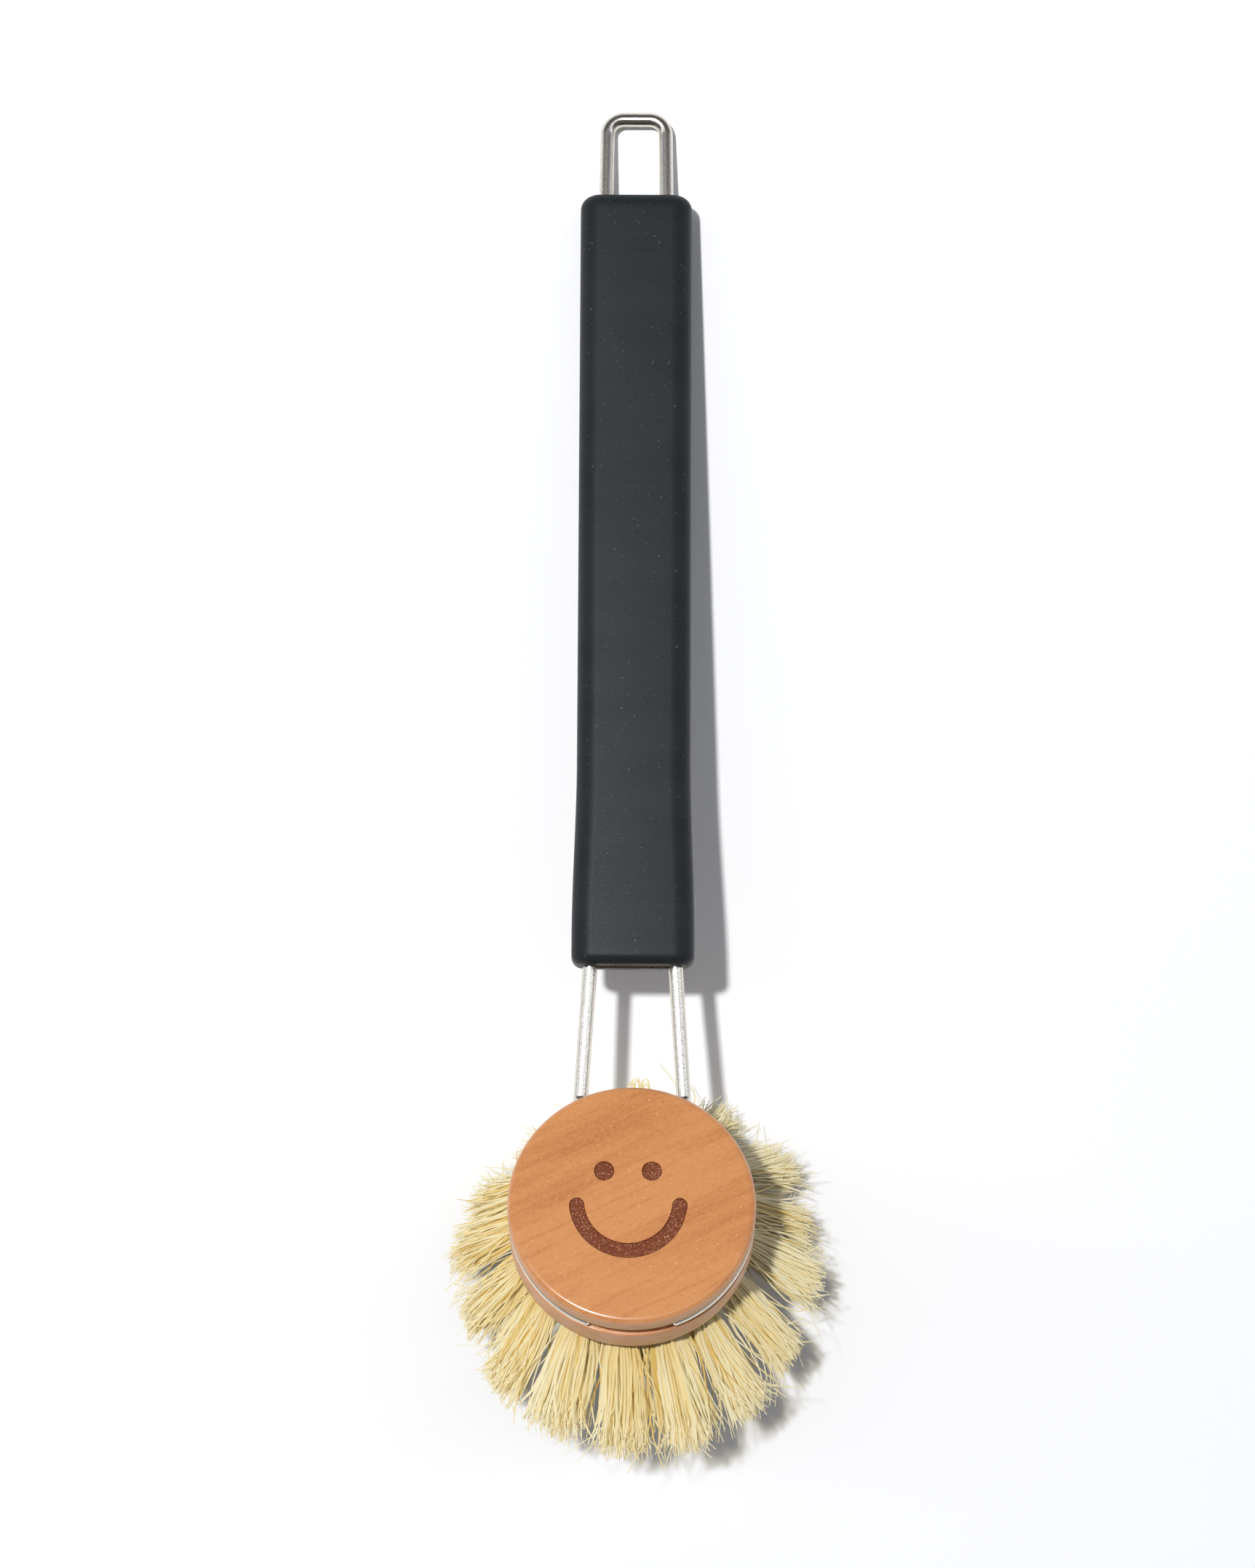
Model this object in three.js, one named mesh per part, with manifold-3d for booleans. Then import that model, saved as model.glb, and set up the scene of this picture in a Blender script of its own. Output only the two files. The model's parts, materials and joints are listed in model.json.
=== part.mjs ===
// Dish brush with a replaceable wooden head, in millimetres, +Z up.
// It lies on a table with its face up, resting on the rear bristle tips and the tail edge of the grip.
// +Y runs from the head to the hanging loop. The origin is on the table, under the middle of the brush.
import * as THREE from "three";
import { mergeVertices } from "three/addons/utils/BufferGeometryUtils.js";
import Module from "manifold-3d";

const wasm = await Module();
wasm.setup();

// Room left between pieces that sit in or turn against one another.
const GAP = 0.3;

// Wire frame: one steel wire bent into a hanging loop, two legs and an open ring.
const WIRE_DIAMETER = 3;
const WIRE_SIDES = 10;
const LOOP_WIDTH = 12.3;
const LOOP_REACH = 18;
const LOOP_CORNER_RADIUS = 3.5;
const LEG_SPACING = 17.6;
const LEG_SPLAY = THREE.MathUtils.degToRad(3.7);
const FORK_LENGTH = 51;
const FORK_BEND = THREE.MathUtils.degToRad(14.3);
const FORK_BEND_FROM_RING = 26;
const FORK_BEND_RADIUS = 9;
const LEG_BEND_RADIUS = 30;
const RING_RADIUS = 23.5;
const RING_ENTRY_RADIUS = 4;
const RING_MOUTH_HALF_ANGLE = THREE.MathUtils.degToRad(20);

// Cross bar: a short rod welded between the legs in the mouth of the grip.
const BAR_DIAMETER = 2.4;
const BAR_DEPTH_IN_MOUTH = 1.05;

// Grip: a moulded sleeve of flat oval section, flared towards the fork.
const GRIP_LENGTH = 164.5;
const GRIP_THICKNESS = 13;
const GRIP_WAIST_WIDTH = 23.6;
const GRIP_FORK_WIDTH = 25.3;
const GRIP_FLARE_START = 42;
const GRIP_FLARE_END = 6;
const GRIP_SIDE_RADIUS = 4.4;
const GRIP_FORK_END_RADIUS = 2.6;
const GRIP_TAIL_END_RADIUS = 3.4;
const GRIP_CORNER_STEPS = 6;
const GRIP_END_STEPS = 4;

// Head: one turned disc of wood with a groove round its rim for the wire ring.
const HEAD_RADIUS = 25;
const HEAD_SIDES = 60;
const CAP_THICKNESS = 4.8;
const CAP_EDGE_RADIUS = 1.4;
const GROOVE_HEIGHT = 3.6;
const GROOVE_FLOOR_RADIUS = RING_RADIUS - WIRE_DIAMETER / 2 - 0.5;
const BASE_THICKNESS = 8;
const BASE_EDGE_RADIUS = 0.8;
const RIM_CHAMFER = 0.5;

// Tufts: fibre bundles folded in half, each held in its own bore by a flat anchor.
const BORE_DIAMETER = 5.2;
const BORE_SIDES = 8;
const BORE_END_BELOW_GROOVE = 1.2;
const ROOT_DIAMETER = 4.4;
const ROOT_SIDES = 6;
const BACKING_THICKNESS = 1.5;
const BACKING_RADIUS = 23;
const BACKING_SIDES = 40;
const ANCHOR_LENGTH = 6.2;
const ANCHOR_HEIGHT = 1.6;
const ANCHOR_THICKNESS = 0.5;
const ANCHOR_BELOW_ROOT_END = 1.2;
const STRANDS_PER_TUFT = 10;
const STRAND_SPREAD = 1.75;
const STRAND_RADIUS = 0.38;
const STRAND_LENGTH = 32;
const STRAND_UNEVENNESS = 0.6;

// Rings of tufts, from the rim inwards: where they leave the wood, and where their tips spread to.
const TUFT_RINGS = [
  { name: "outer", count: 16, phase: -5.5, radius: 19.4, tipRadius: 37, widen: 1.8, turn: 1.8, steps: 2 },
  { name: "middle", count: 10, phase: 0, radius: 12.4, tipRadius: 17, widen: 1.7, turn: 1.3, steps: 1 },
  { name: "inner", count: 5, phase: 0, radius: 6, tipRadius: 8, widen: 1.5, turn: 1.2, steps: 1 },
  { name: "centre", count: 1, phase: 0, radius: 0, tipRadius: 0, widen: 1.5, turn: 1, steps: 1 },
];

// Heights in the head's own frame, which has its origin at the ring's centre.
const CAP_TOP = GROOVE_HEIGHT / 2 + CAP_THICKNESS;
const BASE_TOP = -GROOVE_HEIGHT / 2;
const BASE_BOTTOM = BASE_TOP - BASE_THICKNESS;
const BACKING_TOP = BASE_BOTTOM + BACKING_THICKNESS;
const BORE_END = BASE_TOP - BORE_END_BELOW_GROOVE;
const ROOT_END = BORE_END - GAP;
const ANCHOR_MIDDLE = ROOT_END - ANCHOR_BELOW_ROOT_END - ANCHOR_HEIGHT / 2;

const material = (color, roughness, metalness) =>
  new THREE.MeshStandardMaterial({ color, roughness, metalness });
const steel = material(0xc9c6c0, 0.3, 1);
const rubber = material(0x353a3c, 0.75, 0);
const wood = material(0xd0905e, 0.45, 0);
const fibre = material(0xe6d596, 0.7, 0);
const anchorWire = material(0xb5b3ad, 0.35, 1);

// A closed geometry as a solid, and a solid as a geometry.
function solidOf(geometry) {
  const bare = new THREE.BufferGeometry();
  bare.setAttribute("position", geometry.getAttribute("position"));
  bare.setIndex(geometry.index);
  const merged = mergeVertices(bare, 1e-4);
  const triVerts = [];
  for (let i = 0; i < merged.index.count; i += 3) {
    const [a, b, c] = [0, 1, 2].map((k) => merged.index.getX(i + k));
    if (a !== b && b !== c && a !== c) triVerts.push(a, b, c);
  }
  return new wasm.Manifold(
    new wasm.Mesh({
      numProp: 3,
      vertProperties: merged.attributes.position.array,
      triVerts: new Uint32Array(triVerts),
    }),
  );
}

function geometryOf(solid) {
  const { vertProperties, triVerts } = solid.getMesh();
  const geometry = new THREE.BufferGeometry();
  geometry.setAttribute("position", new THREE.BufferAttribute(new Float32Array(vertProperties), 3));
  geometry.setIndex(new THREE.BufferAttribute(new Uint32Array(triVerts), 1));
  geometry.computeVertexNormals();
  return geometry;
}

function piece(name, geometry, finish) {
  const mesh = new THREE.Mesh(geometry, finish);
  mesh.name = name;
  return mesh;
}

// An arc that rounds the corner of two straight runs.
class CornerArc extends THREE.Curve {
  constructor(before, corner, after, radius) {
    super();
    this.radius = radius;
    this.along = corner.clone().sub(before).normalize();
    const onward = after.clone().sub(corner).normalize();
    this.turn = this.along.angleTo(onward);
    this.inward = onward.clone().addScaledVector(this.along, -onward.dot(this.along)).normalize();
    const cut = radius * Math.tan(this.turn / 2);
    this.start = corner.clone().addScaledVector(this.along, -cut);
    this.end = corner.clone().addScaledVector(onward, cut);
  }
  getPoint(t) {
    const angle = t * this.turn;
    return this.start
      .clone()
      .addScaledVector(this.along, this.radius * Math.sin(angle))
      .addScaledVector(this.inward, this.radius * (1 - Math.cos(angle)));
  }
}

// A flat curve drawn on a plane in space.
class OnPlane extends THREE.Curve {
  constructor(flat, toSpace) {
    super();
    this.flat = flat;
    this.toSpace = toSpace;
  }
  getPoint(t) {
    return this.toSpace(this.flat.getPoint(t));
  }
}

// A path with stations of its own choosing: many round a bend, and one for each straight run.
class StationPath extends THREE.Curve {
  constructor(stations) {
    super();
    this.stations = stations;
  }
  at(u) {
    return this.stations[Math.round(u * (this.stations.length - 1))];
  }
  getPointAt(u) {
    return this.at(u).point.clone();
  }
  getTangentAt(u) {
    return this.at(u).tangent.clone();
  }
}

const polygon = (radius, sides) =>
  Array.from({ length: sides }, (_, i) => {
    const angle = (2 * Math.PI * i) / sides;
    return new THREE.Vector2(radius * Math.cos(angle), radius * Math.sin(angle));
  });

// The ring's plane rises towards the front of the head, bent up from the legs.
const ringPlaneRear = new THREE.Vector3(0, Math.cos(FORK_BEND), -Math.sin(FORK_BEND));
const ringCentre = new THREE.Vector3(
  0,
  -FORK_LENGTH,
  FORK_BEND_FROM_RING * Math.sin(FORK_BEND),
);
const onRingPlane = (p) =>
  ringCentre.clone().addScaledVector(ringPlaneRear, p.y).add(new THREE.Vector3(p.x, 0, 0));

// Half of the wire, from the ring's free end round the head, up the leg and to the middle of the loop.
function wireHalf() {
  const toRing = new THREE.Vector2(Math.sin(LEG_SPLAY), -Math.cos(LEG_SPLAY));
  const outward = new THREE.Vector2(Math.cos(LEG_SPLAY), Math.sin(LEG_SPLAY));
  const legExit = new THREE.Vector3(LEG_SPACING / 2, 0, 0);
  const legRun = (FORK_LENGTH - FORK_BEND_FROM_RING * Math.cos(FORK_BEND)) * Math.tan(LEG_SPLAY);
  const bendFlat = new THREE.Vector2(LEG_SPACING / 2 + legRun, FORK_BEND_FROM_RING);
  const forkBend = onRingPlane(bendFlat);

  // The entry arc touches the leg's line and the ring from outside.
  const offset = bendFlat.clone().addScaledVector(outward, RING_ENTRY_RADIUS);
  const reach = RING_RADIUS + RING_ENTRY_RADIUS;
  const along = offset.dot(toRing);
  const run = -along - Math.sqrt(along ** 2 - offset.lengthSq() + reach ** 2);
  const entryCentre = offset.clone().addScaledVector(toRing, run);
  const legEnd = onRingPlane(bendFlat.clone().addScaledVector(toRing, run));
  const ringStart = Math.atan2(entryCentre.y, entryCentre.x);
  const ringEnd = RING_MOUTH_HALF_ANGLE - Math.PI / 2;

  const ring = new THREE.EllipseCurve(0, 0, RING_RADIUS, RING_RADIUS, ringEnd, ringStart, false);
  const entry = new THREE.EllipseCurve(
    entryCentre.x,
    entryCentre.y,
    RING_ENTRY_RADIUS,
    RING_ENTRY_RADIUS,
    ringStart + Math.PI,
    LEG_SPLAY + Math.PI,
    true,
  );
  const loopCorner = new THREE.Vector3(LOOP_WIDTH / 2, GRIP_LENGTH + LOOP_REACH, 0);
  const crown = new THREE.Vector3(0, GRIP_LENGTH + LOOP_REACH, 0);
  const atFork = new CornerArc(legEnd, forkBend, legExit, FORK_BEND_RADIUS);
  const atGrip = new CornerArc(forkBend, legExit, loopCorner, LEG_BEND_RADIUS);
  const atLoop = new CornerArc(legExit, loopCorner, crown, LOOP_CORNER_RADIUS);

  const runs = [
    [new OnPlane(ring, onRingPlane), 14],
    [new OnPlane(entry, onRingPlane), 5],
    [new THREE.LineCurve3(legEnd, atFork.start), 1],
    [atFork, 2],
    [new THREE.LineCurve3(atFork.end, atGrip.start), 1],
    [atGrip, 1],
    [new THREE.LineCurve3(atGrip.end, atLoop.start), 1],
    [atLoop, 6],
    [new THREE.LineCurve3(atLoop.end, crown), 1],
  ];
  return runs.flatMap(([curve, steps]) =>
    Array.from({ length: steps }, (_, i) => ({
      point: curve.getPoint(i / steps),
      tangent: curve.getTangent(i / steps),
    })),
  );
}

function wireFrame() {
  const half = wireHalf();
  const crown = {
    point: new THREE.Vector3(0, GRIP_LENGTH + LOOP_REACH, 0),
    tangent: new THREE.Vector3(-1, 0, 0),
  };
  const mirrored = half.toReversed().map(({ point, tangent }) => ({
    point: new THREE.Vector3(-point.x, point.y, point.z),
    tangent: new THREE.Vector3(tangent.x, -tangent.y, -tangent.z),
  }));
  const path = new StationPath([...half, crown, ...mirrored]);
  const section = new THREE.Shape(polygon(WIRE_DIAMETER / 2, WIRE_SIDES));
  return new THREE.ExtrudeGeometry(section, {
    steps: path.stations.length - 1,
    extrudePath: path,
    bevelEnabled: false,
  });
}

// A rod along X at the mouth of the grip.
function mouthRod(diameter, length) {
  const rod = new THREE.CylinderGeometry(diameter / 2, diameter / 2, length, WIRE_SIDES);
  return rod.rotateZ(Math.PI / 2).translate(0, BAR_DEPTH_IN_MOUTH, 0);
}

const crossBar = () => mouthRod(BAR_DIAMETER, LEG_SPACING - WIRE_DIAMETER - 2 * GAP);

// One cross-section of the grip at y, drawn in from its full size by inset.
function gripSection(y, inset) {
  const flare = 1 - THREE.MathUtils.smoothstep(y, GRIP_FLARE_END, GRIP_FLARE_START);
  const width = GRIP_WAIST_WIDTH + flare * (GRIP_FORK_WIDTH - GRIP_WAIST_WIDTH);
  const radius = Math.max(GRIP_SIDE_RADIUS - inset, GAP);
  const cornerX = width / 2 - inset - radius;
  const cornerZ = GRIP_THICKNESS / 2 - inset - radius;
  const corners = [[1, 1], [-1, 1], [-1, -1], [1, -1]];
  return corners.flatMap(([signX, signZ], quarter) =>
    Array.from({ length: GRIP_CORNER_STEPS + 1 }, (_, i) => {
      const angle = (quarter + i / GRIP_CORNER_STEPS) * (Math.PI / 2);
      const x = signX * cornerX + radius * Math.cos(angle);
      const z = signZ * cornerZ + radius * Math.sin(angle);
      return new THREE.Vector3(x, y, z);
    }),
  );
}

// A closed skin over cross-sections that all have the same number of points.
function loft(sections) {
  const count = sections[0].length;
  const middleOf = (section) =>
    section.reduce((sum, p) => sum.add(p), new THREE.Vector3()).divideScalar(count);
  const points = [...sections.flat(), middleOf(sections[0]), middleOf(sections.at(-1))];
  const firstMiddle = sections.length * count;
  const index = [];
  for (let i = 0; i < count; i++) {
    const next = (i + 1) % count;
    for (let s = 0; s < sections.length - 1; s++) {
      const here = s * count;
      const there = here + count;
      index.push(here + i, there + i, there + next, here + i, there + next, here + next);
    }
    const last = (sections.length - 1) * count;
    index.push(firstMiddle, i, next, firstMiddle + 1, last + next, last + i);
  }
  return new THREE.BufferGeometry().setFromPoints(points).setIndex(index);
}

// The bore that one leg of the wire runs through, a little wider than the wire.
function legBore(side) {
  const bore = new THREE.Vector3(side * (LEG_SPACING / 2), 0, 0);
  const loop = new THREE.Vector3(side * (LOOP_WIDTH / 2), GRIP_LENGTH + LOOP_REACH, 0);
  const direction = loop.clone().sub(bore).normalize();
  const path = new THREE.LineCurve3(bore.clone().addScaledVector(direction, -2), loop);
  const section = new THREE.Shape(polygon(WIRE_DIAMETER / 2 + GAP, WIRE_SIDES));
  return new THREE.ExtrudeGeometry(section, { steps: 1, extrudePath: path, bevelEnabled: false });
}

function grip() {
  const quarter = (i) => ((i / GRIP_END_STEPS) * Math.PI) / 2;
  const steps = Array.from({ length: GRIP_END_STEPS + 1 }, (_, i) => quarter(i));
  const forkEnd = steps.map((a) =>
    gripSection(GRIP_FORK_END_RADIUS * (1 - Math.cos(a)), GRIP_FORK_END_RADIUS * (1 - Math.sin(a))),
  );
  const flareSteps = 5;
  const flare = Array.from({ length: flareSteps + 1 }, (_, i) =>
    gripSection(GRIP_FLARE_END + (i / flareSteps) * (GRIP_FLARE_START - GRIP_FLARE_END), 0),
  );
  const tailStart = GRIP_LENGTH - GRIP_TAIL_END_RADIUS;
  const tailEnd = steps.map((a) =>
    gripSection(
      tailStart + GRIP_TAIL_END_RADIUS * Math.sin(a),
      GRIP_TAIL_END_RADIUS * (1 - Math.cos(a)),
    ),
  );
  const body = solidOf(loft([...forkEnd, ...flare, ...tailEnd]));
  const cuts = [
    solidOf(legBore(1)),
    solidOf(legBore(-1)),
    solidOf(mouthRod(BAR_DIAMETER + 2 * GAP, LEG_SPACING)),
  ];
  return geometryOf(cuts.reduce((left, cut) => left.subtract(cut), body));
}

// Every tuft's place on the underside of the head.
const tuftPlaces = TUFT_RINGS.flatMap((ring) =>
  Array.from({ length: ring.count }, (_, i) => {
    const angle = THREE.MathUtils.degToRad(ring.phase + (360 * i) / ring.count - 90);
    const x = ring.radius * Math.cos(angle);
    const y = ring.radius * Math.sin(angle);
    return { ring, angle, x, y, name: `${ring.name}_${String(i + 1).padStart(2, "0")}` };
  }),
);

const boxAt = (length, thickness, height, { x, y }) =>
  new THREE.BoxGeometry(length, thickness, height).translate(x, y, ANCHOR_MIDDLE);

// The slot that an anchor's ends bite into.
const anchorSlot = (place) =>
  solidOf(
    boxAt(ANCHOR_LENGTH + 2 * GAP, ANCHOR_THICKNESS + 2 * GAP, ANCHOR_HEIGHT + 2 * GAP, place),
  );

function uprightRod(diameter, sides, from, to, { x, y }) {
  const rod = new THREE.CylinderGeometry(diameter / 2, diameter / 2, to - from, sides);
  return rod.rotateX(Math.PI / 2).translate(x, y, (from + to) / 2);
}

// A quarter round on a turned profile, from one angle to another about its centre.
const turnedRound = (x, y, radius, from, to, steps = 4) =>
  new THREE.EllipseCurve(x, y, radius, radius, from, to, from > to).getPoints(steps);

function headBlock() {
  const bottomRound = turnedRound(
    HEAD_RADIUS - BASE_EDGE_RADIUS,
    BASE_BOTTOM + BASE_EDGE_RADIUS,
    BASE_EDGE_RADIUS,
    -Math.PI / 2,
    0,
    2,
  );
  const capRound = turnedRound(
    HEAD_RADIUS - CAP_EDGE_RADIUS,
    CAP_TOP - CAP_EDGE_RADIUS,
    CAP_EDGE_RADIUS,
    0,
    Math.PI / 2,
  );
  const recessTop = BACKING_TOP + GAP;
  const recessRadius = BACKING_RADIUS + GAP;
  const profile = [
    new THREE.Vector2(0, recessTop),
    new THREE.Vector2(recessRadius, recessTop),
    new THREE.Vector2(recessRadius, BASE_BOTTOM),
    ...bottomRound,
    new THREE.Vector2(HEAD_RADIUS, BASE_TOP - RIM_CHAMFER),
    new THREE.Vector2(HEAD_RADIUS - RIM_CHAMFER, BASE_TOP),
    new THREE.Vector2(GROOVE_FLOOR_RADIUS, BASE_TOP),
    new THREE.Vector2(GROOVE_FLOOR_RADIUS, -BASE_TOP),
    new THREE.Vector2(HEAD_RADIUS - RIM_CHAMFER, -BASE_TOP),
    new THREE.Vector2(HEAD_RADIUS, -BASE_TOP + RIM_CHAMFER),
    ...capRound,
    new THREE.Vector2(0, CAP_TOP),
  ];
  const turned = solidOf(new THREE.LatheGeometry(profile, HEAD_SIDES).rotateX(Math.PI / 2));
  const cuts = tuftPlaces.flatMap((place) => [
    solidOf(uprightRod(BORE_DIAMETER, BORE_SIDES, BASE_BOTTOM, BORE_END, place)),
    anchorSlot(place),
  ]);
  return geometryOf(turned.subtract(wasm.Manifold.union(cuts)));
}

// One strand, leaving the wood straight down and bending out to its tip.
function strand({ ring, angle }, tuft, number) {
  const reach = STRAND_SPREAD * Math.sqrt((number + 0.5) / STRANDS_PER_TUFT);
  const around = number * Math.PI * (3 - Math.sqrt(5));
  const out = reach * Math.cos(around);
  const side = reach * Math.sin(around);
  const baseRadius = ring.radius + out;
  const tipRadius = ring.tipRadius + ring.widen * out;
  const uneven = STRAND_UNEVENNESS * Math.sin(5.3 * number + 2.9 * tuft);
  const drop = Math.sqrt((STRAND_LENGTH + uneven) ** 2 - (tipRadius - baseRadius) ** 2);
  const place = (radius, sideways, z) => {
    const centred = new THREE.Vector3(radius, sideways, z);
    return centred.applyAxisAngle(new THREE.Vector3(0, 0, 1), angle);
  };
  const fanned = ring.turn * (tipRadius / Math.max(baseRadius, ring.widen)) * side;
  const tipSide = ring.radius ? fanned : ring.widen * side;
  const base = place(baseRadius, side, BASE_BOTTOM + BACKING_THICKNESS / 2);
  const tip = place(tipRadius, tipSide, BASE_BOTTOM - drop);
  const lean = 0.35;
  const middle = place(
    THREE.MathUtils.lerp(baseRadius, tipRadius, lean),
    THREE.MathUtils.lerp(side, tipSide, lean),
    BASE_BOTTOM - drop / 2,
  );
  const path =
    ring.steps > 1
      ? new THREE.QuadraticBezierCurve3(base, middle, tip)
      : new THREE.LineCurve3(base, tip);
  return new THREE.ExtrudeGeometry(new THREE.Shape(polygon(STRAND_RADIUS, 3)), {
    steps: ring.steps,
    extrudePath: path,
    bevelEnabled: false,
  });
}

// One ring of tufts: strands and folded roots on the slice of backing that they pass through.
function tuftRing(ring) {
  const places = tuftPlaces.filter((place) => place.ring === ring);
  const number = TUFT_RINGS.indexOf(ring);
  const halfway = (a, b) => (a.radius + b.radius) / 2;
  const outerEdge = number ? halfway(TUFT_RINGS[number - 1], ring) - GAP / 2 : BACKING_RADIUS;
  const innerEdge = ring.radius ? halfway(ring, TUFT_RINGS[number + 1]) + GAP / 2 : 0;
  const slice = [
    new THREE.Vector2(innerEdge, BASE_BOTTOM),
    new THREE.Vector2(outerEdge, BASE_BOTTOM),
    new THREE.Vector2(outerEdge, BACKING_TOP),
    new THREE.Vector2(innerEdge, BACKING_TOP),
  ];
  if (innerEdge) slice.push(slice[0]);
  const backing = solidOf(new THREE.LatheGeometry(slice, BACKING_SIDES).rotateX(Math.PI / 2));
  const roots = places.map((place) =>
    solidOf(
      uprightRod(ROOT_DIAMETER, ROOT_SIDES, BASE_BOTTOM + BACKING_THICKNESS / 2, ROOT_END, place),
    ).subtract(anchorSlot(place)),
  );
  const strands = places.flatMap((place, tuft) =>
    Array.from({ length: STRANDS_PER_TUFT }, (_, i) => solidOf(strand(place, tuft, i))),
  );
  return geometryOf(wasm.Manifold.union([backing, ...roots, ...strands]));
}

// The handle lies along Y with the fork end of its grip at the origin, and carries the head on its ring.
const handle = new THREE.Group();
handle.add(piece("wire_frame", wireFrame(), steel));
handle.add(piece("cross_bar", crossBar(), steel));
handle.add(piece("grip", grip(), rubber));

const head = new THREE.Group();
head.position.copy(ringCentre);
head.rotation.x = -FORK_BEND;
head.add(piece("head_block", headBlock(), wood));
for (const ring of TUFT_RINGS) {
  const name = ring.count > 1 ? `${ring.name}_tufts` : `${ring.name}_tuft`;
  head.add(piece(name, tuftRing(ring), fibre));
}
for (const place of tuftPlaces) {
  const bar = boxAt(ANCHOR_LENGTH, ANCHOR_THICKNESS, ANCHOR_HEIGHT, place);
  head.add(piece(`anchor_${place.name}`, bar, anchorWire));
}
handle.add(head);

// Lays the brush on the table: it tips about X until the grip and the bristles reach equally low.
const lowest = (object) => new THREE.Box3().setFromObject(object, true).min.z;
let [levelPitch, steepPitch] = [0, -Math.PI / 6];
for (let i = 0; i < 24; i++) {
  handle.rotation.x = (levelPitch + steepPitch) / 2;
  handle.updateMatrixWorld(true);
  const onBristles = lowest(head) < lowest(handle.getObjectByName("grip"));
  if (onBristles) levelPitch = handle.rotation.x;
  else steepPitch = handle.rotation.x;
}

// Sets the origin on the table, under the middle of the brush.
const brush = new THREE.Group();
brush.add(handle);
const bounds = new THREE.Box3().setFromObject(brush, true);
const middle = bounds.getCenter(new THREE.Vector3());
handle.position.set(-middle.x, -middle.y, -bounds.min.z);

export default brush;
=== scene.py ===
import json
import math

import bpy
import numpy as np
from mathutils import Matrix, Vector
from mathutils.geometry import tessellate_polygon


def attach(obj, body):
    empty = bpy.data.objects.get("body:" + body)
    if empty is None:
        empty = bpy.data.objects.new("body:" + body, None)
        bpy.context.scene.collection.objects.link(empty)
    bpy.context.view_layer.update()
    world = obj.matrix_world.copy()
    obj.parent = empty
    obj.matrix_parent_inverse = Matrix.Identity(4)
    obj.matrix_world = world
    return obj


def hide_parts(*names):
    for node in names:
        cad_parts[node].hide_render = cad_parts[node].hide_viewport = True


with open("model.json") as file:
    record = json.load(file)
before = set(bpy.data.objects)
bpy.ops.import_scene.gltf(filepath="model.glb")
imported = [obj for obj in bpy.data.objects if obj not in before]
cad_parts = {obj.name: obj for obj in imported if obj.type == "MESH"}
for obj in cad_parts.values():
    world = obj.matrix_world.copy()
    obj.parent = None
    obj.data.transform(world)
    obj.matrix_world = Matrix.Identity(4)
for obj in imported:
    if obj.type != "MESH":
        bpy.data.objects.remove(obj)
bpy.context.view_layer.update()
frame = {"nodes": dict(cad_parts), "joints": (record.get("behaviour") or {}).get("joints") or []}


# Wire frame
# One length of nickel-plated spring wire, 3 mm thick, bent cold on a jig: a hanging loop at the
# tail, two legs that run through the grip, and an open ring that springs into the head's groove.
WIRE_RADIUS = 0.0015
WIRE_END_CHAMFER = 0.0003
LOOP_CROWN = 0.1825
LOOP_HALF_WIDTH = 0.00615
LOOP_CORNER_RADIUS = 0.0035
LEG_HALF_SPACING = 0.0088
LEG_SPLAY = math.radians(3.7)
LEG_BEND_RADIUS = 0.03
FORK_LENGTH = 0.051
FORK_BEND = math.radians(14.3)
FORK_BEND_FROM_RING = 0.026
FORK_BEND_RADIUS = 0.003
FORK_BEND_UNDER_CAP = 0.0024
RING_RADIUS = 0.0235
RING_ENTRY_RADIUS = 0.004
RING_MOUTH = math.radians(20)
RING_STEPS, ENTRY_STEPS, FORK_STEPS, LEG_STEPS, LOOP_STEPS = 64, 20, 8, 4, 24
WIRE_SIDES = 28
WIRE_SEAM_SIDE = (0.3, 0.2, 1.0)
SHARP_FROM = math.radians(35)

# The head turns about the ring's axis, and the handle slopes down from the ring to the tail.
spin = next(joint for joint in frame["joints"] if joint["name"] == "head_spin")
ring_centre, ring_axis = Vector(spin["pos_m"]), Vector(spin["axis"])
head_lean = math.atan2(ring_axis.y, ring_axis.z)
head_place = Matrix.Translation(ring_centre) @ Matrix.Rotation(-head_lean, 4, "X")
ring_on_handle = Vector((0, -FORK_LENGTH, FORK_BEND_FROM_RING * math.sin(FORK_BEND)))
handle_place = (
    Matrix.Translation(ring_centre)
    @ Matrix.Rotation(FORK_BEND - head_lean, 4, "X")
    @ Matrix.Translation(-ring_on_handle)
)


def new_piece(name, points, faces, place):
    """A mesh piece with its points in its own frame, set down at its place on the brush."""
    mesh = bpy.data.meshes.new(name)
    mesh.from_pydata([tuple(p) for p in points], [], faces)
    mesh.shade_smooth()
    made = bpy.data.objects.new(name, mesh)
    bpy.context.collection.objects.link(made)
    made.matrix_world = place
    return made


def bend(before, corner, after, radius, steps):
    """Points of the arc that rounds one corner of a bent wire."""
    along, onward = (corner - before).normalized(), (after - corner).normalized()
    turn = along.angle(onward)
    inward = (onward - along * onward.dot(along)).normalized()
    start = corner - along * radius * math.tan(turn / 2)
    angles = [turn * i / steps for i in range(steps + 1)]
    return [
        start + along * radius * math.sin(a) + inward * radius * (1 - math.cos(a)) for a in angles
    ]


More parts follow.
